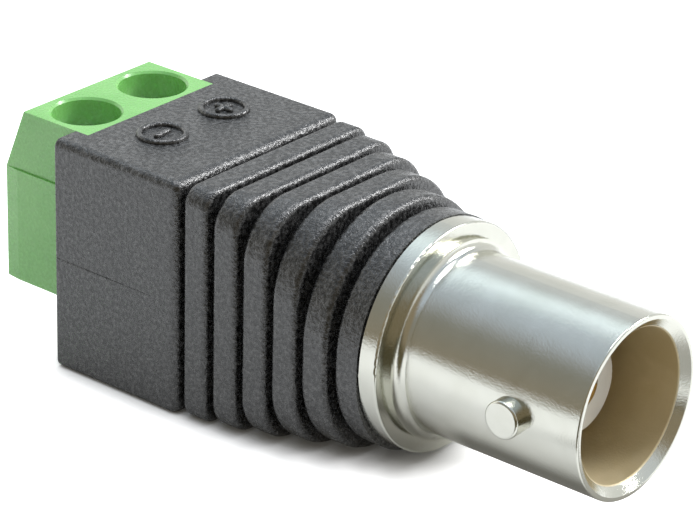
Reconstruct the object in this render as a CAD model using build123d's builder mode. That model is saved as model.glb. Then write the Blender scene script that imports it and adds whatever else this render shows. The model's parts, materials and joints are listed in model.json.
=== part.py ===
from build123d import *
from math import radians, tan
import os

# Adapter from a bayonet coaxial jack to a two-pole screw terminal block, in millimetres.
# X is the coaxial axis and the jack's mouth faces +X. The origin is on that axis, in the front face
# of the jack's flange. Z is up: the clamping screws are turned from above.

# Jack shell, turned in one piece
barrel_length = 11.4
shell_diameter = 9.6
bore_diameter = 8.1
bore_depth = 5.3
lead_in = 0.5
lead_in_depth = 0.45
seat_diameter = 7.0
seat_depth = 8.8
web_thickness = 2.0
mouth_edge = 0.1
lug_diameter = 2.0
lug_span = 11.0
lug_setback = 4.1
lug_edge = 0.15
collar_diameter = 10.4
collar_height = 0.35
collar_blend = 0.5
flange_diameter = 12.2
flange_thickness = 1.15
flange_edge = 0.12
neck_diameter = 8.8
neck_length = 4.05
grip_depth = 0.5
grip_width = 1.2
spigot_wall = 0.5
spigot_length = 1.8

# Insulators, centre contact and what holds them in the shell
fit_gap = 0.01
nose_diameter = 4.7
nose_setback = 3.15
stack_diameter = 6.2
dielectric_base = 2.8
rear_insulator_length = 3.0
ring_length = 1.0
ring_hole_diameter = 3.2
contact_diameter = 2.1
contact_gap = 0.05
contact_bore_diameter = 1.36
contact_bore_depth = 5.0
slot_width = 0.2
slot_length = 3.6
shoulder_diameter = 3.0
shoulder_thickness = 0.8
shank_diameter = 1.5
tail_length = 4.2
cup_diameter = 0.9
cup_depth = 1.6

# Ground tag
tag_thickness = 0.6
tag_rim = 1.0
tongue_width = 1.8
tongue_length = 4.0

# Moulded body: a square block, then ribs that turn from square to round
body_width = 12.8
body_height = 13.1
block_length = 8.6
block_corner = 0.45
block_edge = 0.5
rear_edge = 0.15
rib_count = 5
rib_width = 1.59
rib_gap = 0.38
rib_depth = 1.0
rib_edge = 0.33
first_rib_corner = 1.0
last_rib_flat = 3.1
last_rib_top_flat = 0.6
corner_growth = 1.35
rib_taper = 0.015
nose_ring_width = 1.51
nose_ring_size = 12.24
nose_ring_flat = 1.3
nose_ring_top_flat = 0.24

# Terminal block
pitch = 5.08
housing_overhang = 5.05
housing_depth = 7.95
notch_depth = 0.95
well_setback = 3.7
well_diameter = 3.68
well_edge = 0.12
top_setback = 1.35
slope_height = 3.45
foot_drop = 1.55
side_wall = 0.56
side_step = 0.12
side_bevel = 0.9
floor_thickness = 0.6
ledge_thickness = 0.5
entry_bevel = 0.25

# Clamp: the screw turns in place and its cage climbs up the thread
turn_gap = 0.05
slide_gap = 0.1
head_sink = 1.45
head_diameter = 3.4
head_height = 1.05
head_edge = 0.15
drive_width = 0.55
drive_depth = 0.6
thread_diameter = 2.5
screw_point = 0.3
ledge_clearance = 0.2
cage_travel = 1.6
cage_depth = 3.4
cage_width = 3.5
cage_side = 0.5
cage_top_wall = 1.0
cage_floor = 0.8
cage_corner = 0.4
closed_opening = 0.1
ground_screw_turn = 35
signal_screw_turn = 110

# Contact bars
bar_thickness = 0.8
bar_reach = 1.3
leg_width = 1.2
leg_cover = 1.05
lead_rise = 1.1

# Leads
wire_diameter = 0.7
sleeve_diameter = 1.5
leg_run = 3.4
cup_run = 3.4
tongue_run = 2.2
tongue_lap = 1.8
bare_end = 1.0
solder_length = 0.8
solder_width = 1.06
solder_rise = 0.25
solder_film = 0.05
bend_share = 0.45

# Places along the coaxial axis
mouth_x = barrel_length
lug_x = mouth_x - lug_setback
floor_x = mouth_x - seat_depth
web_rear_x = floor_x - web_thickness
flange_rear_x = -flange_thickness
neck_end_x = flange_rear_x - neck_length
spigot_end_x = neck_end_x - spigot_length
dielectric_rear_x = web_rear_x - dielectric_base
insulator_rear_x = dielectric_rear_x - rear_insulator_length
ring_rear_x = insulator_rear_x - ring_length
cup_mouth_x = insulator_rear_x - tail_length
nose_x = mouth_x - nose_setback
rib_pitch = rib_width + rib_gap
nose_ring_rear_x = flange_rear_x - nose_ring_width
block_front_x = nose_ring_rear_x - rib_gap - rib_count * rib_pitch
block_rear_x = block_front_x - block_length
housing_rear_x = block_rear_x - housing_overhang
housing_front_x = housing_rear_x + housing_depth
notch_x = block_rear_x + notch_depth
well_x = housing_rear_x + well_setback

# Radii
shell_r = shell_diameter / 2
bore_r = bore_diameter / 2
neck_r = neck_diameter / 2
stack_r = stack_diameter / 2
spigot_r = stack_r + spigot_wall
tag_r = spigot_r + tag_rim
last_rib_corner = (min(body_width, body_height) - last_rib_flat) / 2
last_rib_top_corner = (min(body_width, body_height) - last_rib_top_flat) / 2
nose_ring_corner = (nose_ring_size - nose_ring_flat) / 2
nose_ring_top_corner = (nose_ring_size - nose_ring_top_flat) / 2
wire_r = wire_diameter / 2
sleeve_r = sleeve_diameter / 2
thread_r = thread_diameter / 2

# Heights in the terminal block, from its top down
top_z = body_height / 2
head_top_z = top_z - head_sink
head_under_z = head_top_z - head_height
ledge_top_z = head_under_z - turn_gap
ledge_under_z = ledge_top_z - ledge_thickness
window_height = slide_gap + bar_thickness + cage_travel + closed_opening
cage_height = cage_top_wall + window_height + cage_floor
cage_top_z = ledge_under_z - slide_gap - cage_travel
cage_under_z = cage_top_z - cage_height
window_top_z = cage_top_z - cage_top_wall
window_floor_z = cage_under_z + cage_floor
pocket_floor_z = cage_under_z - slide_gap
housing_under_z = pocket_floor_z - floor_thickness
bar_top_z = window_top_z - slide_gap
bar_under_z = bar_top_z - bar_thickness
slope_foot_z = top_z - slope_height
leg_end_z = -body_height / 2 + leg_cover
lead_z = leg_end_z + lead_rise
tongue_top_z = -tag_r + tag_thickness
tongue_wire_z = tongue_top_z + solder_film + wire_r

# Widths and depths in the terminal block
pole_ys = [-pitch / 2, pitch / 2]
pocket_width = cage_width + 2 * slide_gap
pocket_depth = cage_depth + 2 * slide_gap
window_width = cage_width - 2 * cage_side
bar_width = window_width - 2 * slide_gap
housing_width = pitch + pocket_width + 2 * side_wall
upper_width = housing_width - 2 * side_step


def box_between(low, high, mode=Mode.SUBTRACT):
    """Adds or cuts the box between two opposite corners."""
    centre = (Vector(low) + Vector(high)) / 2
    with Locations(centre):
        Box(high[0] - low[0], high[1] - low[1], high[2] - low[2], mode=mode)


# Shell: flange, collar, barrel, bore and spigot are one turned profile
with BuildPart() as bnc_shell:
    with BuildSketch(Plane.XZ):
        with BuildLine():
            Polyline(
                (collar_height, shell_r + collar_blend),
                (collar_height, collar_diameter / 2),
                (0, collar_diameter / 2),
                (0, flange_diameter / 2),
                (flange_rear_x, flange_diameter / 2),
                (flange_rear_x, neck_r),
                (neck_end_x, neck_r),
                (neck_end_x, spigot_r),
                (spigot_end_x, spigot_r),
                (spigot_end_x, stack_r),
                (web_rear_x, stack_r),
                (web_rear_x, nose_diameter / 2 + fit_gap),
                (floor_x, nose_diameter / 2 + fit_gap),
                (floor_x, seat_diameter / 2),
                (mouth_x - bore_depth, seat_diameter / 2),
                (mouth_x - bore_depth, bore_r),
                (mouth_x - lead_in_depth, bore_r),
                (mouth_x, bore_r + lead_in),
                (mouth_x, shell_r),
                (collar_height + collar_blend, shell_r),
            )
            RadiusArc(
                (collar_height + collar_blend, shell_r),
                (collar_height, shell_r + collar_blend),
                collar_blend,
            )
        make_face()
    revolve(axis=Axis.X)
    # Grip groove that the moulding flows into
    with BuildSketch(Plane.XZ):
        with Locations(((flange_rear_x + neck_end_x) / 2, neck_r - grip_depth / 2)):
            Rectangle(grip_width, grip_depth)
    revolve(axis=Axis.X, mode=Mode.SUBTRACT)
    flange_rim = bnc_shell.edges().filter_by(
        lambda edge: edge.geom_type == GeomType.CIRCLE and edge.radius > flange_diameter / 2 - fit_gap
    )
    fillet(flange_rim, flange_edge)
    mouth_rim = bnc_shell.edges().group_by(Axis.X)[-1].sort_by(SortBy.LENGTH)[-1]
    fillet(mouth_rim, mouth_edge)
    # Bayonet lugs, from inside the barrel's wall outwards
    for side in (-1, 1):
        wall_y = side * (bore_r + shell_r) / 2
        with BuildSketch(Plane(origin=(lug_x, wall_y, 0), x_dir=(1, 0, 0), z_dir=(0, side, 0))):
            Circle(lug_diameter / 2)
        extrude(amount=lug_span / 2 - abs(wall_y))
        lug_rim = bnc_shell.edges().group_by(Axis.Y)[-1 if side > 0 else 0]
        fillet(lug_rim, lug_edge)

# Front insulator: the nose stands in the bore, the base is pressed in from behind
with BuildPart() as dielectric:
    with BuildSketch(Plane.XZ):
        with BuildLine():
            Polyline(
                (nose_x, contact_diameter / 2 + contact_gap),
                (nose_x, nose_diameter / 2),
                (web_rear_x, nose_diameter / 2),
                (web_rear_x, stack_r - fit_gap),
                (dielectric_rear_x, stack_r - fit_gap),
                (dielectric_rear_x, contact_diameter / 2 + contact_gap),
                close=True,
            )
        make_face()
    revolve(axis=Axis.X)
    nose_rim = dielectric.edges().group_by(Axis.X)[-1].sort_by(SortBy.LENGTH)[-1]
    fillet(nose_rim, mouth_edge)

# Centre contact: slotted socket in front, solder cup behind
with BuildPart() as centre_contact:
    with BuildSketch(Plane.XZ):
        with BuildLine():
            Polyline(
                (nose_x, contact_bore_diameter / 2),
                (nose_x, contact_diameter / 2),
                (dielectric_rear_x, contact_diameter / 2),
                (dielectric_rear_x, shoulder_diameter / 2),
                (dielectric_rear_x - shoulder_thickness, shoulder_diameter / 2),
                (dielectric_rear_x - shoulder_thickness, shank_diameter / 2),
                (cup_mouth_x, shank_diameter / 2),
                (cup_mouth_x, cup_diameter / 2),
                (cup_mouth_x + cup_depth, cup_diameter / 2),
                (cup_mouth_x + cup_depth, 0),
                (nose_x - contact_bore_depth, 0),
                (nose_x - contact_bore_depth, contact_bore_diameter / 2),
                close=True,
            )
        make_face()
    revolve(axis=Axis.X)
    with BuildSketch(Plane.YZ.offset(nose_x)):
        Rectangle(slot_width, contact_diameter + contact_gap)
        Rectangle(contact_diameter + contact_gap, slot_width)
    extrude(amount=-slot_length, mode=Mode.SUBTRACT)

# Rear insulator: a bush with a recess for the contact's shoulder
with BuildPart() as rear_insulator:
    with BuildSketch(Plane.XZ):
        with BuildLine():
            Polyline(
                (dielectric_rear_x, shoulder_diameter / 2 + fit_gap),
                (dielectric_rear_x, stack_r - fit_gap),
                (insulator_rear_x, stack_r - fit_gap),
                (insulator_rear_x, shank_diameter / 2 + fit_gap),
                (dielectric_rear_x - shoulder_thickness, shank_diameter / 2 + fit_gap),
                (dielectric_rear_x - shoulder_thickness, shoulder_diameter / 2 + fit_gap),
                close=True,
            )
        make_face()
    revolve(axis=Axis.X)

# Ring pressed into the spigot behind the insulators
with BuildPart() as retaining_ring:
    with BuildSketch(Plane.YZ.offset(ring_rear_x)):
        Circle(stack_r - fit_gap)
        Circle(ring_hole_diameter / 2, mode=Mode.SUBTRACT)
    extrude(amount=ring_length)

# Ground tag: a ring against the neck's shoulder with a tongue bent back along the axis
with BuildPart() as ground_tag:
    with BuildSketch(Plane.YZ.offset(neck_end_x)):
        Circle(tag_r)
        Circle(spigot_r, mode=Mode.SUBTRACT)
    extrude(amount=-tag_thickness)
    box_between(
        (neck_end_x - tongue_length, -tongue_width / 2, tongue_top_z - tag_thickness),
        (neck_end_x, tongue_width / 2, tongue_top_z),
        mode=Mode.ADD,
    )

# Outline of the terminal block without its hollows, which the moulding also closes round
with BuildPart() as housing_outline:
    with BuildSketch(Plane.XZ):
        with BuildLine():
            Polyline(
                (housing_rear_x + top_setback, top_z),
                (notch_x, top_z),
                (notch_x, top_z - foot_drop),
                (housing_front_x, top_z - foot_drop),
                (housing_front_x, housing_under_z),
                (housing_rear_x, housing_under_z),
                (housing_rear_x, slope_foot_z),
                close=True,
            )
        make_face()
    extrude(amount=upper_width / 2, both=True)
    box_between(
        (housing_rear_x, -housing_width / 2, housing_under_z),
        (housing_front_x, housing_width / 2, slope_foot_z),
        mode=Mode.ADD,
    )
    side_edges = housing_outline.edges().filter_by(Axis.Z).group_by(Axis.X)[0]
    rear_face = housing_outline.faces().filter_by(Plane.YZ).sort_by(Axis.X)[0]
    chamfer(side_edges, side_step, side_bevel, reference=rear_face)

with BuildPart() as terminal_housing:
    add(housing_outline.part)
    for pole_y in pole_ys:
        # Well for the screw's head, with the ledge that the head turns on
        with BuildSketch(Plane.XY.offset(top_z)):
            with Locations((well_x, pole_y)):
                Circle(well_diameter / 2)
        extrude(amount=ledge_top_z - top_z, mode=Mode.SUBTRACT)
        with BuildSketch(Plane.XY.offset(ledge_top_z)):
            with Locations((well_x, pole_y)):
                Circle(thread_r + ledge_clearance)
        extrude(amount=-ledge_thickness, mode=Mode.SUBTRACT)
        # Pocket that the cage slides in, open to the rear as the wire entry
        box_between(
            (well_x - pocket_depth / 2, pole_y - pocket_width / 2, pocket_floor_z),
            (well_x + pocket_depth / 2, pole_y + pocket_width / 2, ledge_under_z),
        )
        box_between(
            (housing_rear_x, pole_y - pocket_width / 2, pocket_floor_z),
            (well_x, pole_y + pocket_width / 2, cage_top_z + slide_gap),
        )
        # Slot for the contact bar and channel for its leg, open to the front
        box_between(
            (well_x, pole_y - bar_width / 2, bar_under_z),
            (housing_front_x, pole_y + bar_width / 2, bar_top_z),
        )
        box_between(
            (housing_front_x - bar_thickness, pole_y - leg_width / 2, housing_under_z),
            (housing_front_x, pole_y + leg_width / 2, bar_under_z),
        )
    well_rims = terminal_housing.edges().filter_by(GeomType.CIRCLE).group_by(Axis.Z)[-1]
    chamfer(well_rims, well_edge)
    entry_rims = terminal_housing.faces().filter_by(Plane.YZ).sort_by(Axis.X)[0].inner_wires().edges()
    chamfer(entry_rims, entry_bevel)


def make_clamp_screw(pole_y, rest_turn):
    """Slotted cheese-head screw that turns in place on the ledge."""
    with BuildPart() as screw:
        with BuildSketch(Plane.XY.offset(head_under_z)):
            with Locations((well_x, pole_y)):
                Circle(head_diameter / 2)
        extrude(amount=head_height)
        chamfer(screw.edges().group_by(Axis.Z)[-1], head_edge)
        with BuildSketch(Plane.XY.offset(bar_top_z + turn_gap)):
            with Locations((well_x, pole_y)):
                Circle(thread_r - turn_gap)
        extrude(amount=head_under_z - bar_top_z - turn_gap)
        chamfer(screw.edges().group_by(Axis.Z)[0], screw_point)
        with BuildSketch(Plane.XY.offset(head_top_z)):
            with Locations((well_x, pole_y)):
                Rectangle(head_diameter, drive_width, rotation=rest_turn)
        extrude(amount=-drive_depth, mode=Mode.SUBTRACT)
    return screw.part


def make_clamp_cage(pole_y):
    """Folded brass cage: threaded roof, window for the wire and the contact bar, thick floor."""
    with BuildPart() as cage:
        with BuildSketch(Plane.YZ.offset(well_x)):
            with Locations((pole_y, (cage_top_z + cage_under_z) / 2)):
                RectangleRounded(cage_width, cage_height, cage_corner)
            with Locations((pole_y, (window_top_z + window_floor_z) / 2)):
                Rectangle(window_width, window_height, mode=Mode.SUBTRACT)
        extrude(amount=cage_depth / 2, both=True)
        with BuildSketch(Plane.XY.offset(cage_top_z)):
            with Locations((well_x, pole_y)):
                Circle(thread_r)
        extrude(amount=-cage_top_wall, mode=Mode.SUBTRACT)
    return cage.part


def make_contact_bar(pole_y):
    """Flat bar through the cage's window, bent down into a solder leg at the housing's front."""
    with BuildPart() as bar:
        box_between(
            (well_x - bar_reach, pole_y - bar_width / 2, bar_under_z),
            (housing_front_x, pole_y + bar_width / 2, bar_top_z),
            mode=Mode.ADD,
        )
        box_between(
            (housing_front_x - bar_thickness, pole_y - leg_width / 2, leg_end_z),
            (housing_front_x, pole_y + leg_width / 2, bar_under_z),
            mode=Mode.ADD,
        )
    return bar.part


def corner_radii(points):
    """Largest even bends: each takes the same share of the shorter run beside its corner."""
    radii = []
    for before, corner, after in zip(points, points[1:], points[2:]):
        run_in = Vector(corner) - Vector(before)
        run_out = Vector(after) - Vector(corner)
        half_turn = radians(run_in.get_angle(run_out)) / 2
        radii.append(bend_share * min(run_in.length, run_out.length) / tan(half_turn))
    return radii


def make_rod(points, radii, radius):
    """Round rod along straight runs joined by tangent arcs."""
    with BuildPart() as rod:
        with BuildLine():
            FilletPolyline(*points, radius=radii)
        with BuildSketch(Plane(origin=points[0], z_dir=Vector(points[1]) - Vector(points[0]))):
            Circle(radius)
        sweep()
    return rod.part


def make_lead(points, bare_rear, bare_front):
    """Bare wire and its sleeve, which stops short of both ends. Both take the sleeve's bends."""
    first_run = (Vector(points[1]) - Vector(points[0])).normalized()
    last_run = (Vector(points[-1]) - Vector(points[-2])).normalized()
    sleeve_points = [
        tuple(Vector(points[0]) + first_run * bare_rear),
        *points[1:-1],
        tuple(Vector(points[-1]) - last_run * bare_front),
    ]
    radii = corner_radii(sleeve_points)
    wire = make_rod(points, radii, wire_r)
    with BuildPart() as sleeve:
        add(make_rod(sleeve_points, radii, sleeve_r))
        add(wire, mode=Mode.SUBTRACT)
    return wire, sleeve.part


def make_leg_solder(pole_y, wire):
    """Solder cone round the wire where it meets the leg's front."""
    with BuildPart() as solder:
        with BuildSketch(Plane.YZ.offset(housing_front_x)):
            with Locations((pole_y, lead_z)):
                Circle(solder_width / 2)
        with BuildSketch(Plane.YZ.offset(housing_front_x + solder_length)):
            with Locations((pole_y, lead_z)):
                Circle(wire_r + turn_gap)
        loft()
        add(wire, mode=Mode.SUBTRACT)
    return solder.part


ground_y, signal_y = pole_ys
clamp_screws = [
    make_clamp_screw(ground_y, ground_screw_turn),
    make_clamp_screw(signal_y, signal_screw_turn),
]
clamp_cages = [make_clamp_cage(pole_y) for pole_y in pole_ys]
contact_bars = [make_contact_bar(pole_y) for pole_y in pole_ys]

# Signal lead: from the far leg up and inwards to the contact's solder cup
signal_points = [
    (housing_front_x, signal_y, lead_z),
    (housing_front_x + leg_run, signal_y, lead_z),
    (cup_mouth_x - cup_run, 0, 0),
    (cup_mouth_x + cup_depth, 0, 0),
]
signal_wire, signal_sleeve = make_lead(signal_points, bare_end, cup_depth + bare_end)

# Ground lead: from the near leg to the top of the tag's tongue
tongue_rear_x = neck_end_x - tongue_length
ground_points = [
    (housing_front_x, ground_y, lead_z),
    (housing_front_x + leg_run, ground_y, lead_z),
    (tongue_rear_x - tongue_run, 0, tongue_wire_z),
    (tongue_rear_x + tongue_lap, 0, tongue_wire_z),
]
ground_wire, ground_sleeve = make_lead(ground_points, bare_end, tongue_lap + bare_end / 2)

ground_leg_solder = make_leg_solder(ground_y, ground_wire)
signal_leg_solder = make_leg_solder(signal_y, signal_wire)

# Solder that fills the cup round the wire and stands up a little at its mouth
with BuildPart() as cup_solder:
    with BuildSketch(Plane.XZ):
        with BuildLine():
            Polyline(
                (cup_mouth_x + cup_depth, 0),
                (cup_mouth_x + cup_depth, cup_diameter / 2),
                (cup_mouth_x, cup_diameter / 2),
                (cup_mouth_x - bare_end / 2, wire_r + turn_gap),
                (cup_mouth_x - bare_end / 2, 0),
                close=True,
            )
        make_face()
    revolve(axis=Axis.X)
    add(signal_wire, mode=Mode.SUBTRACT)

# Solder mound over the ground wire's end on the tongue, with a film of it under the wire
mound_length = tongue_lap + solder_rise
with BuildPart() as tag_solder:
    with BuildSketch(Plane.XY.offset(tongue_top_z)):
        with Locations((tongue_rear_x + mound_length / 2, 0)):
            SlotOverall(mound_length, tongue_width / 2 + wire_r)
    extrude(amount=tongue_wire_z + wire_r + solder_rise - tongue_top_z)
    fillet(tag_solder.edges().group_by(Axis.Z)[-1], solder_rise)
    add(ground_wire, mode=Mode.SUBTRACT)


def moulded_outline(width, height, top_corner, bottom_corner):
    """Section of the moulding, with one corner radius above and one below."""
    with BuildSketch() as outline:
        Rectangle(width, height)
        fillet(outline.vertices().group_by(Axis.Y)[-1], top_corner)
        fillet(outline.vertices().group_by(Axis.Y)[0], bottom_corner)
    return outline.sketch


def inner_outline(width, height, top_corner, bottom_corner):
    """The same section, smaller by the depth of the gaps."""
    return moulded_outline(
        width - 2 * rib_depth,
        height - 2 * rib_depth,
        max(top_corner - rib_depth, rib_edge),
        max(bottom_corner - rib_depth, rib_edge),
    )


def rib_section(number):
    """Width, height and corner radii of a rib, counted from the block towards the flange."""
    share = ((number - 1) / max(rib_count - 1, 1)) ** corner_growth
    shrink = 2 * rib_taper * number
    top_corner = first_rib_corner + share * (last_rib_top_corner - first_rib_corner)
    bottom_corner = first_rib_corner + share * (last_rib_corner - first_rib_corner)
    return body_width - shrink, body_height - shrink, top_corner, bottom_corner


rib_outlines = [moulded_outline(*rib_section(number)) for number in range(1, rib_count + 1)]
rib_cores = [inner_outline(*rib_section(number)) for number in range(1, rib_count + 1)]
nose_section = (nose_ring_size, nose_ring_size, nose_ring_top_corner, nose_ring_corner)
nose_outline = moulded_outline(*nose_section)
nose_core = inner_outline(*nose_section)


# Moulding: the block, the separate ribs and the nose ring first, then the core that joins them
with BuildPart() as overmould_body:
    with BuildSketch(Plane.YZ.offset(block_rear_x)):
        RectangleRounded(body_width, body_height, block_corner)
    extrude(amount=block_length)
    fillet(overmould_body.edges().group_by(Axis.X)[-1], block_edge)
    fillet(overmould_body.edges().group_by(Axis.X)[0], rear_edge)
    for number in range(1, rib_count + 1):
        rib_x = block_front_x + rib_gap + (number - 1) * rib_pitch
        with BuildSketch(Plane.YZ.offset(rib_x)):
            add(rib_outlines[number - 1])
        extrude(amount=rib_width)
        fillet(overmould_body.edges().group_by(Axis.X)[-1], rib_edge)
        rib_rear = overmould_body.edges().filter_by_position(Axis.X, rib_x - fit_gap, rib_x + fit_gap)
        fillet(rib_rear, rib_edge)
    with BuildSketch(Plane.YZ.offset(nose_ring_rear_x)):
        add(nose_outline)
    extrude(amount=nose_ring_width)
    nose_edges = overmould_body.edges().filter_by_position(
        Axis.X, nose_ring_rear_x - fit_gap, nose_ring_rear_x + fit_gap
    )
    fillet(nose_edges, rib_edge)
    for number in range(1, rib_count + 1):
        gap_x = block_front_x + (number - 1) * rib_pitch
        with BuildSketch(Plane.YZ.offset(gap_x - rib_edge)):
            add(rib_cores[number - 1])
        extrude(amount=rib_pitch + rib_edge)
    with BuildSketch(Plane.YZ.offset(nose_ring_rear_x - rib_gap - rib_edge)):
        add(nose_core)
    extrude(amount=rib_gap + 2 * rib_edge)
    # Room for the terminal block, the back of the jack, the leads and their joints
    with BuildSketch(Plane.YZ.offset(ring_rear_x)):
        Circle(stack_r)
    extrude(amount=flange_rear_x - ring_rear_x, mode=Mode.SUBTRACT)
    for inner in (housing_outline, bnc_shell, centre_contact, ground_tag, cup_solder, tag_solder):
        add(inner.part, mode=Mode.SUBTRACT)
    for inner in (signal_wire, signal_sleeve, ground_wire, ground_sleeve):
        add(inner, mode=Mode.SUBTRACT)
    for inner in (*contact_bars, ground_leg_solder, signal_leg_solder):
        add(inner, mode=Mode.SUBTRACT)

pieces = {
    "overmould_body": overmould_body.part,
    "terminal_housing": terminal_housing.part,
    "clamp_screw_1": clamp_screws[0],
    "clamp_screw_2": clamp_screws[1],
    "clamp_cage_1": clamp_cages[0],
    "clamp_cage_2": clamp_cages[1],
    "contact_bar_1": contact_bars[0],
    "contact_bar_2": contact_bars[1],
    "bnc_shell": bnc_shell.part,
    "dielectric": dielectric.part,
    "centre_contact": centre_contact.part,
    "rear_insulator": rear_insulator.part,
    "retaining_ring": retaining_ring.part,
    "ground_tag": ground_tag.part,
    "signal_wire": signal_wire,
    "signal_sleeve": signal_sleeve,
    "ground_wire": ground_wire,
    "ground_sleeve": ground_sleeve,
    "signal_leg_solder": signal_leg_solder,
    "ground_leg_solder": ground_leg_solder,
    "cup_solder": cup_solder.part,
    "tag_solder": tag_solder.part,
}

os.makedirs("parts", exist_ok=True)
for name, part in pieces.items():
    part.label = name
    export_step(part, f"parts/{name}.step")
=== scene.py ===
import bpy
import json
import math
from mathutils import Matrix, Vector


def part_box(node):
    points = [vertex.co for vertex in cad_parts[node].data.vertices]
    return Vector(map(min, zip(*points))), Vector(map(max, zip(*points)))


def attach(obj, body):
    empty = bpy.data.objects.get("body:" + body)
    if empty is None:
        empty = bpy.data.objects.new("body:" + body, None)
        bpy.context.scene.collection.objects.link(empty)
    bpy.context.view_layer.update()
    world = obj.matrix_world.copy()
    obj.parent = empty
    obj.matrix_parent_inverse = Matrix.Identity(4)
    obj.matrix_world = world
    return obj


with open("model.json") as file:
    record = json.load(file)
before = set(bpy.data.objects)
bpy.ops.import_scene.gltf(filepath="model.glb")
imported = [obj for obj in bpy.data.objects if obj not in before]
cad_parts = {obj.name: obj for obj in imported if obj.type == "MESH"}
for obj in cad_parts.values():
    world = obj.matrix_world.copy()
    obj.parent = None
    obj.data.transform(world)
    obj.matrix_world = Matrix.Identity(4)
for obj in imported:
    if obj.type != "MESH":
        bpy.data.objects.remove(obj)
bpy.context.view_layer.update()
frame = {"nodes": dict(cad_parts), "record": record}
nodes = frame["nodes"]

# Units and the photograph's frame
MM = 0.001
FRAME_WIDTH = 696
SENSOR_WIDTH = 36

# Camera, as solved from the photograph
AZIMUTH = math.radians(39.37)
ELEVATION = math.radians(25.076)
ROLL = math.radians(1.46)
CAMERA_AT = Vector((98.154, -128.024, 79.551)) * MM
FOCAL_PIXELS = 3584.2
CLIP_NEAR = 0.01
CLIP_FAR = 20

# Lamps: place in millimetres, width and height in metres, power and colour
LAMP_AIM = Vector((-6, 0, 0)) * MM
LAMPS = {
    "overhead": ((-20, 50, 300), 0.16, 0.16, 0.4, (1, 1, 1)),
    "edge": ((130, 205, 185), 0.09, 0.09, 0.6, (1, 1, 1)),
    "strip": ((-230, 107, 310), 0.3, 0.07, 0.055, (0.8, 0.95, 1.0)),
}

# Brightness of the room round the object
ROOM_FRONT = (0.31, 0.27, 0.2)
ROOM_FRONT_HIGH = (0.28, 0.28, 0.25)
ROOM_CORNER = (0.43, 0.46, 0.5)
ROOM_TOP = (0.56, 0.64, 0.74)
ROOM_RIGHT = (0.3, 0.25, 0.17)
ROOM_LEFT = (1.3, 1.3, 1.25)
ROOM_BACK = (0.95, 0.96, 0.94)
ROOM_BACK_HIGH = (0.78, 0.8, 0.8)

# Directions between which one side of the room turns into the next
RIGHT_TURN = (0.0, 0.4)
BACK_TURN = (-0.12, 0.12)
LEFT_TURN = (-0.7, -0.85)

# Floor, with painted shade before the jack and a painted shadow under its barrel, where only the object
# mirrors it
FLOOR_SIZE = 3.0
FLOOR_TONE = (0.8, 0.8, 0.8)
# Colour of the painted shade and painted shadow, seen only by rays from the object
FLOOR_PAINTED_SHADE = (0.09, 0.075, 0.04)
FRONT_PAINTED_SHADE_X = (3 * MM, 8 * MM)
FRONT_PAINTED_SHADE_Y = (-11 * MM, -14 * MM)
UNDER_PAINTED_SHADOW_X = (0.0, 1.5 * MM)
UNDER_PAINTED_SHADOW_Y = (3.2 * MM, 5.2 * MM)
UNDER_PAINTED_SHADOW_SHARE = 0.66
MIRRORED_GLOW = 0.26
# Reach of the painted contact shadow, where ambient occlusion dims the floor's glow
SHADOW_REACH = 1.8 * MM

# Radius round the axis inside which the nickel is dull
BORE_EDGE = 4.14 * MM
BORE_BLEND = 0.06 * MM

# Raised polarity marks, centred as in the photograph, and the flash at the mould's parting line
MINUS_AT = (-17.8 * MM, -2.12 * MM)
PLUS_AT = (-17.77 * MM, 2.62 * MM)
MARK_RADIUS = 1.22 * MM
MARK_LINE = 0.17 * MM
MARK_RISE = 0.05 * MM
MARK_ARM = 0.62 * MM
RING_TURNS = 64
LINE_SIDES = 12
TIP_ANGLE = math.radians(8)
SEAM_HEIGHT = -0.2 * MM
SEAM_INSET = 0.12 * MM
SEAM_LENGTH = 6.8 * MM
SEAM_WIDTH = 0.035 * MM
SEAM_SIDES = 8

# Faces that the marks, lines and floor are placed from
body_low, body_high = (Vector(corner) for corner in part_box("overmould_body"))
housing_low = Vector(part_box("terminal_housing")[0])
floor_z = min(body_low.z, housing_low.z)


def set_camera():
    """Camera at the photograph's viewing angle, with no shift."""
    back = Vector((
        math.sin(AZIMUTH) * math.cos(ELEVATION),
        -math.cos(AZIMUTH) * math.cos(ELEVATION),
        math.sin(ELEVATION),
    ))
    level_right = (-back).cross(Vector((0, 0, 1))).normalized()
    level_up = level_right.cross(-back)
    right = math.cos(ROLL) * level_right + math.sin(ROLL) * level_up
    up = math.cos(ROLL) * level_up - math.sin(ROLL) * level_right
    data = bpy.data.cameras.new("camera")
    data.sensor_width = SENSOR_WIDTH
    data.lens = FOCAL_PIXELS / FRAME_WIDTH * SENSOR_WIDTH
    data.clip_start = CLIP_NEAR
    data.clip_end = CLIP_FAR
    camera = bpy.data.objects.new("camera", data)
    camera.matrix_world = Matrix.Translation(CAMERA_AT) @ Matrix((right, up, back)).transposed().to_4x4()
    bpy.context.collection.objects.link(camera)
    bpy.context.scene.camera = camera


def add_lamps():
    """Rectangular area lights, each turned to face the object."""
    for name, (place, width, height, power, colour) in LAMPS.items():
        data = bpy.data.lights.new(name, "AREA")
        data.shape = "RECTANGLE"
        data.size = width
        data.size_y = height
        data.energy = power
        data.color = colour
        light = bpy.data.objects.new(name, data)
        light.location = Vector(place) * MM
        light.rotation_euler = (LAMP_AIM - light.location).to_track_quat("-Z", "Y").to_euler()
        bpy.context.collection.objects.link(light)


def link(tree, output, target):
    tree.links.new(output, target)


def add_node(tree, kind, inputs=None, **settings):
    """New node, with the values of some inputs and settings."""
    node = tree.nodes.new(kind)
    for key, value in (inputs or {}).items():
        node.inputs[key].default_value = value
    for key, value in settings.items():
        setattr(node, key, value)
    return node


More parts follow.
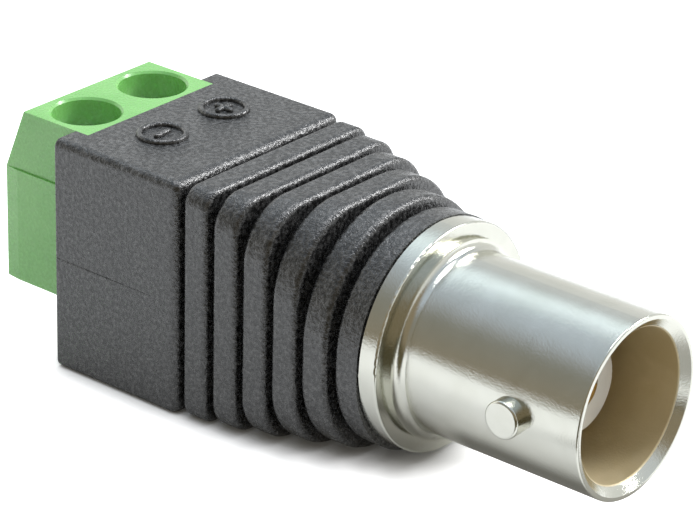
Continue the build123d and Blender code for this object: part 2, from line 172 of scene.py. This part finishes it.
def arithmetic(tree, operation, *values):
    """Result of a math node, whose values are numbers or other nodes' outputs."""
    node = add_node(tree, "ShaderNodeMath", operation=operation)
    for target, value in zip(node.inputs, values):
        if isinstance(value, float):
            target.default_value = value
        else:
            link(tree, value, target)
    return node.outputs[0]


def object_coordinates(tree):
    return add_node(tree, "ShaderNodeTexCoord").outputs["Object"]


def split_axes(tree, vector):
    """X, Y and Z of a vector."""
    node = add_node(tree, "ShaderNodeSeparateXYZ")
    link(tree, vector, node.inputs[0])
    return node.outputs


def noise(tree, size, detail=2.0, roughness=0.5, distortion=0.0):
    """Noise between 0 and 1 whose blobs are about the given size, in metres."""
    values = {"Scale": 1 / size, "Detail": detail, "Roughness": roughness, "Distortion": distortion}
    node = add_node(tree, "ShaderNodeTexNoise", values)
    link(tree, object_coordinates(tree), node.inputs["Vector"])
    return node.outputs["Fac"]


def spread(tree, value, low, high, from_low=0.35, from_high=0.65):
    """Maps a stretch of values to another, and holds its ends; as given, the middle of a noise."""
    values = {"From Min": from_low, "From Max": from_high, "To Min": low, "To Max": high}
    node = add_node(tree, "ShaderNodeMapRange", values)
    link(tree, value, node.inputs["Value"])
    return node.outputs["Result"]


def ramp(tree, value, stops):
    """Colour ramp through stops of (position, colour)."""
    node = add_node(tree, "ShaderNodeValToRGB")
    elements = node.color_ramp.elements
    for index, (position, colour) in enumerate(stops):
        if index < 2:
            elements[index].position = position
        else:
            elements.new(position)
    for element, (position, colour) in zip(elements, stops):
        element.position = position
        element.color = (*colour, 1)
    link(tree, value, node.inputs["Fac"])
    return node.outputs["Color"]


def blend_colours(tree, value, first, second, low=0.35, high=0.65):
    """Colour that goes from the first to the second as the value rises."""
    return ramp(tree, value, [(low, first), (high, second)])


def mix(tree, kind, share, first, second):
    """Mixes two colours or numbers by a share."""
    node = add_node(tree, "ShaderNodeMix", data_type=kind)
    link(tree, share, node.inputs["Factor"])
    link(tree, first, node.inputs["A"])
    link(tree, second, node.inputs["B"])
    return node.outputs["Result"]


def bump(tree, height, depth, under=None):
    """Bump of a depth in metres, on top of another one if given."""
    node = add_node(tree, "ShaderNodeBump", {"Distance": depth, "Strength": 1.0})
    link(tree, height, node.inputs["Height"])
    if under is not None:
        link(tree, under, node.inputs["Normal"])
    return node.outputs["Normal"]


def new_material(name):
    material = bpy.data.materials.new(name)
    material.use_nodes = True
    return material, material.node_tree, material.node_tree.nodes["Principled BSDF"]


def moulding_material():
    """Black moulding with a spark-eroded grain that catches the light on its edges."""
    material, tree, shader = new_material("black_moulding")
    grain = noise(tree, 0.22 * MM, detail=3.0, roughness=0.6)
    pits = noise(tree, 0.09 * MM, detail=2.0)
    cloud = noise(tree, 2.5 * MM, detail=2.0)
    speckle = spread(tree, grain, 0.0, 1.0, 0.42, 0.68)
    tone = arithmetic(tree, "MULTIPLY", spread(tree, cloud, 0.85, 1.0), speckle)
    link(tree, blend_colours(tree, tone, (0.004, 0.004, 0.004), (0.1, 0.1, 0.101), 0.0, 1.0),
         shader.inputs["Base Color"])
    link(tree, spread(tree, grain, 0.32, 0.18), shader.inputs["Roughness"])
    shader.inputs["Specular IOR Level"].default_value = 0.95
    normal = bump(tree, grain, 0.06 * MM)
    link(tree, bump(tree, pits, 0.02 * MM, under=normal), shader.inputs["Normal"])
    return material


def green_material():
    """Green moulding of the terminal block, nearly smooth."""
    material, tree, shader = new_material("green_moulding")
    flow = noise(tree, 3.0 * MM, detail=2.0, distortion=0.4)
    grain = noise(tree, 0.2 * MM, detail=2.0)
    colour = blend_colours(tree, flow, (0.2, 0.53, 0.135), (0.24, 0.58, 0.165))
    link(tree, colour, shader.inputs["Base Color"])
    link(tree, spread(tree, grain, 0.24, 0.3), shader.inputs["Roughness"])
    link(tree, bump(tree, grain, 0.003 * MM), shader.inputs["Normal"])
    shader.inputs["Specular IOR Level"].default_value = 0.9
    shader.inputs["Subsurface Weight"].default_value = 0.1
    shader.inputs["Subsurface Radius"].default_value = (0.3 * MM, 0.6 * MM, 0.2 * MM)
    shader.inputs["Subsurface Scale"].default_value = 1.0
    return material


def metal_material(name, first, second, rough_low, rough_high):
    """Plated or bare metal with slight stains and uneven gloss."""
    material, tree, shader = new_material(name)
    stain = noise(tree, 2.2 * MM, detail=3.0, distortion=0.5)
    fine = noise(tree, 0.12 * MM, detail=2.0)
    link(tree, blend_colours(tree, stain, first, second), shader.inputs["Base Color"])
    link(tree, spread(tree, fine, rough_low, rough_high), shader.inputs["Roughness"])
    shader.inputs["Metallic"].default_value = 1.0
    link(tree, bump(tree, fine, 0.001 * MM), shader.inputs["Normal"])
    return material


def bore_share(tree):
    """1 within the bore's radius round the jack's axis, 0 outside it."""
    axes = split_axes(tree, object_coordinates(tree))
    flat = add_node(tree, "ShaderNodeCombineXYZ")
    link(tree, axes["Y"], flat.inputs["Y"])
    link(tree, axes["Z"], flat.inputs["Z"])
    radius = add_node(tree, "ShaderNodeVectorMath", operation="LENGTH")
    link(tree, flat.outputs[0], radius.inputs[0])
    return spread(tree, radius.outputs["Value"], 1.0, 0.0, BORE_EDGE - BORE_BLEND, BORE_EDGE)


def nickel_material():
    """Bright nickel, duller and browner in the bore, where the plating is thin."""
    material, tree, shader = new_material("nickel_plate")
    stain = noise(tree, 2.2 * MM, detail=3.0, distortion=0.5)
    fine = noise(tree, 0.12 * MM, detail=3.0, roughness=0.7)
    outside = blend_colours(tree, stain, (0.655, 0.655, 0.585), (0.7, 0.7, 0.635))
    inside = blend_colours(tree, stain, (0.6, 0.5, 0.3), (0.67, 0.57, 0.37))
    bore = bore_share(tree)
    link(tree, mix(tree, "RGBA", bore, outside, inside), shader.inputs["Base Color"])
    link(tree, mix(tree, "FLOAT", bore, spread(tree, fine, 0.1, 0.17), spread(tree, fine, 0.45, 0.55)),
         shader.inputs["Roughness"])
    link(tree, spread(tree, bore, 1.0, 0.35, 0.0, 1.0), shader.inputs["Metallic"])
    normal = bump(tree, fine, 0.009 * MM)
    wave = noise(tree, 3.0 * MM, detail=1.0)
    link(tree, bump(tree, wave, 0.004 * MM, under=normal), shader.inputs["Normal"])
    return material


def plastic_material(name, first, second, rough):
    """Plain plastic with a faint cloudiness and grain."""
    material, tree, shader = new_material(name)
    link(tree, blend_colours(tree, noise(tree, 1.5 * MM), first, second), shader.inputs["Base Color"])
    grain = noise(tree, 0.15 * MM, detail=2.0)
    link(tree, spread(tree, grain, rough - 0.05, rough + 0.05), shader.inputs["Roughness"])
    link(tree, bump(tree, grain, 0.002 * MM), shader.inputs["Normal"])
    return material


MATERIALS = {
    "overmould": moulding_material(),
    "terminal_green": green_material(),
    "jack_shell": nickel_material(),
    "clamp_screw": metal_material("screw_plate", (0.74, 0.74, 0.72), (0.84, 0.84, 0.82), 0.3, 0.45),
    "clamp_cage": metal_material("cage_plate", (0.6, 0.58, 0.5), (0.68, 0.66, 0.58), 0.25, 0.38),
    "tinned_brass": metal_material("tin_plate", (0.62, 0.61, 0.58), (0.72, 0.71, 0.68), 0.3, 0.42),
    "contact_gold": metal_material("gold_plate", (0.72, 0.47, 0.17), (0.82, 0.57, 0.24), 0.15, 0.24),
    "bare_brass": metal_material("bare_brass", (0.68, 0.5, 0.22), (0.76, 0.58, 0.28), 0.25, 0.35),
    "wire": metal_material("copper", (0.72, 0.4, 0.25), (0.8, 0.47, 0.31), 0.25, 0.35),
    "solder": metal_material("solder", (0.55, 0.55, 0.55), (0.68, 0.68, 0.68), 0.25, 0.4),
    "dielectric": plastic_material("white_insulator", (0.74, 0.72, 0.67), (0.8, 0.78, 0.73), 0.35),
    "signal_sleeve": plastic_material("red_sleeve", (0.4, 0.02, 0.015), (0.46, 0.03, 0.02), 0.4),
    "ground_sleeve": plastic_material("black_sleeve", (0.02, 0.02, 0.02), (0.03, 0.03, 0.03), 0.4),
}


def dress_cad_nodes():
    """Gives each CAD node the material of its slot."""
    for part in frame["record"]["subparts"]:
        mesh = nodes[part["node"]].data
        mesh.materials.clear()
        mesh.materials.append(MATERIALS[part["material_slot"]])


def add_mesh(name, points, faces):
    """New piece of the black moulding from points and faces, which rides on the fixed body."""
    mesh = bpy.data.meshes.new(name)
    mesh.from_pydata([tuple(point) for point in points], [], faces)
    mesh.validate()
    mesh.shade_smooth()
    mesh.materials.append(MATERIALS["overmould"])
    piece = bpy.data.objects.new(name, mesh)
    bpy.context.collection.objects.link(piece)
    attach(piece, "housing")


def add_rod(name, start, end, stations, sides=LINE_SIDES):
    """Round rod between two points; each station is a share of its length and a radius."""
    axis = (end - start).normalized()
    across = axis.orthogonal().normalized()
    other = axis.cross(across)
    points = []
    for share, radius in stations:
        for index in range(sides):
            turn = 2 * math.pi * index / sides
            outward = math.cos(turn) * across + math.sin(turn) * other
            points.append(start.lerp(end, share) + radius * outward)
    faces = [list(range(sides))[::-1], [len(points) - sides + index for index in range(sides)]]
    for first in range(0, len(points) - sides, sides):
        for index in range(sides):
            after = (index + 1) % sides
            faces.append([first + index, first + after, first + sides + after, first + sides + index])
    add_mesh(name, points, faces)


def round_ends(length, radius, steps=5):
    """Stations of a rod whose ends are half spheres."""
    rise = []
    for step in range(steps + 1):
        angle = TIP_ANGLE + step / steps * (math.pi / 2 - TIP_ANGLE)
        rise.append((radius * (1 - math.cos(angle)) / length, radius * math.sin(angle)))
    return rise + [(1 - share, width) for share, width in reversed(rise)]


def add_ring(name, centre, radius, line_radius):
    """Level ring with a round section."""
    points = []
    for turn in range(RING_TURNS):
        angle = 2 * math.pi * turn / RING_TURNS
        outward = Vector((math.cos(angle), math.sin(angle), 0))
        for side in range(LINE_SIDES):
            lean = 2 * math.pi * side / LINE_SIDES
            out = outward * (radius + line_radius * math.cos(lean))
            points.append(centre + out + Vector((0, 0, line_radius * math.sin(lean))))
    faces = []
    for turn in range(RING_TURNS):
        first = turn * LINE_SIDES
        second = (turn + 1) % RING_TURNS * LINE_SIDES
        for side in range(LINE_SIDES):
            beside = (side + 1) % LINE_SIDES
            faces.append([first + side, second + side, second + beside, first + beside])
    add_mesh(name, points, faces)


def add_polarity_marks():
    """Raised ring with a plus or a minus on top of the moulding, one beside each pole."""
    height = body_high.z + MARK_RISE
    for pole, (x, y) in (("minus", MINUS_AT), ("plus", PLUS_AT)):
        centre = Vector((x, y, height))
        add_ring(f"{pole}_ring", centre, MARK_RADIUS, MARK_LINE)
        arm = Vector((0, MARK_ARM, 0))
        add_rod(f"{pole}_bar", centre - arm, centre + arm, round_ends(2 * MARK_ARM, MARK_LINE))
        if pole == "plus":
            arm = Vector((MARK_ARM, 0, 0))
            add_rod("plus_cross", centre - arm, centre + arm, round_ends(2 * MARK_ARM, MARK_LINE))


def add_parting_line():
    """Fine flash where the mould halves meet, on both sides of the block, fading forwards."""
    stations = [(0.0, SEAM_WIDTH), (0.35, SEAM_WIDTH), (0.7, 0.7 * SEAM_WIDTH), (1.0, 0.2 * SEAM_WIDTH)]
    for side, y in (("near", body_low.y), ("far", body_high.y)):
        start = Vector((body_low.x + SEAM_INSET, y, SEAM_HEIGHT))
        end = Vector((body_low.x + SEAM_LENGTH, y, SEAM_HEIGHT))
        add_rod(f"parting_line_{side}", start, end, stations, sides=SEAM_SIDES)


def seen_share(tree, path):
    """1 for rays that end at the camera, straight or through glass."""
    return arithmetic(tree, "MAXIMUM", path.outputs["Is Camera Ray"], path.outputs["Is Transmission Ray"])


def painted_shade_share(tree):
    """Painted shade on the floor that only the object sees: a dark patch before the jack and a painted shadow
    under its barrel.
    """
    axes = split_axes(tree, add_node(tree, "ShaderNodeNewGeometry").outputs["Position"])
    across = spread(tree, axes["X"], 0.0, 1.0, *FRONT_PAINTED_SHADE_X)
    ahead = spread(tree, axes["Y"], 0.0, 1.0, *FRONT_PAINTED_SHADE_Y)
    along = spread(tree, axes["X"], 0.0, UNDER_PAINTED_SHADOW_SHARE, *UNDER_PAINTED_SHADOW_X)
    beside = spread(tree, arithmetic(tree, "ABSOLUTE", axes["Y"]), 1.0, 0.0, *UNDER_PAINTED_SHADOW_Y)
    return arithmetic(tree, "MULTIPLY_ADD", across, ahead, arithmetic(tree, "MULTIPLY", along, beside))


def floor_material():
    """White for the camera but for a tight shadow, partly the real shadow in its matte part and partly a
    painted contact shadow where ambient occlusion dims its glow; plain matte for the light, with painted
    shade that only the object sees.
    """
    material = bpy.data.materials.new("floor")
    material.use_nodes = True
    tree = material.node_tree
    tree.nodes.clear()
    path = add_node(tree, "ShaderNodeLightPath")
    # Painted shade: for rays from the object, the floor is darker before the jack and under its barrel
    painted_shade = painted_shade_share(tree)
    unseen = arithmetic(tree, "SUBTRACT", 1.0, path.outputs["Is Camera Ray"])
    colour = blend_colours(tree, arithmetic(tree, "MULTIPLY", painted_shade, unseen), FLOOR_TONE, FLOOR_PAINTED_SHADE, 0.0, 1.0)
    matte = add_node(tree, "ShaderNodeBsdfDiffuse")
    link(tree, colour, matte.inputs["Color"])
    # Painted contact shadow: ambient occlusion dims the floor's glow close to the object
    near = add_node(tree, "ShaderNodeAmbientOcclusion", {"Distance": SHADOW_REACH}, samples=8)
    clear = spread(tree, near.outputs["AO"], 0.02, 0.95, 0.3, 0.95)
    seen = arithmetic(tree, "MULTIPLY", clear, seen_share(tree, path))
    # Glow that only reflections see, dimmed in the painted shade and the painted contact shadow
    mirrored = arithmetic(tree, "MULTIPLY", spread(tree, painted_shade, MIRRORED_GLOW, 0.0, 0.0, 1.0), clear)
    glow = add_node(tree, "ShaderNodeEmission")
    link(tree, arithmetic(tree, "MULTIPLY_ADD", mirrored, path.outputs["Is Glossy Ray"], seen),
         glow.inputs["Strength"])
    both = add_node(tree, "ShaderNodeAddShader")
    link(tree, matte.outputs[0], both.inputs[0])
    link(tree, glow.outputs[0], both.inputs[1])
    link(tree, both.outputs[0], add_node(tree, "ShaderNodeOutputMaterial").inputs["Surface"])
    return material


def add_floor():
    """Pale floor that keeps the object's soft shadow."""
    bpy.ops.mesh.primitive_plane_add(size=FLOOR_SIZE, location=(0, 0, floor_z))
    floor = bpy.context.object
    floor.name = "floor"
    floor.data.materials.append(floor_material())


def turn_into(tree, value, turn, first, second):
    """Colour that goes softly from the first to the second between two directions."""
    share = add_node(tree, "ShaderNodeMapRange", {"From Min": turn[0], "From Max": turn[1]},
                     interpolation_type="SMOOTHSTEP")
    link(tree, value, share.inputs["Value"])
    return mix(tree, "RGBA", share.outputs["Result"], first, second)


def room_colour(tree):
    """Room seen from the object: dim and warm in front, pale behind, bright on the left."""
    axes = split_axes(tree, add_node(tree, "ShaderNodeTexCoord").outputs["Generated"])
    facing = ramp(tree, axes["Z"], [(0.0, ROOM_FRONT), (0.6, ROOM_FRONT_HIGH), (0.75, ROOM_CORNER),
                                    (0.82, ROOM_TOP)])
    right = ramp(tree, axes["Z"], [(0.6, ROOM_RIGHT), (0.9, ROOM_TOP)])
    back = ramp(tree, axes["Z"], [(0.1, ROOM_BACK), (0.4, ROOM_BACK_HIGH), (0.82, ROOM_TOP)])
    left = add_node(tree, "ShaderNodeRGB").outputs[0]
    left.default_value = (*ROOM_LEFT, 1)
    front = turn_into(tree, axes["X"], RIGHT_TURN, facing, right)
    room = turn_into(tree, axes["Y"], BACK_TURN, front, back)
    return turn_into(tree, axes["X"], LEFT_TURN, room, left)


def set_world():
    """Studio room, white where the camera looks."""
    world = bpy.data.worlds.new("studio")
    bpy.context.scene.world = world
    world.use_nodes = True
    tree = world.node_tree
    tree.nodes.clear()
    lit = add_node(tree, "ShaderNodeBackground")
    link(tree, room_colour(tree), lit.inputs["Color"])
    white = add_node(tree, "ShaderNodeBackground", {"Color": (1, 1, 1, 1)})
    both = add_node(tree, "ShaderNodeMixShader")
    link(tree, seen_share(tree, add_node(tree, "ShaderNodeLightPath")), both.inputs["Fac"])
    link(tree, lit.outputs[0], both.inputs[1])
    link(tree, white.outputs[0], both.inputs[2])
    link(tree, both.outputs[0], add_node(tree, "ShaderNodeOutputWorld").inputs["Surface"])


set_camera()
set_world()
add_floor()
dress_cad_nodes()
add_polarity_marks()
add_parting_line()
add_lamps()

scene = bpy.context.scene
scene.view_settings.view_transform = "Standard"
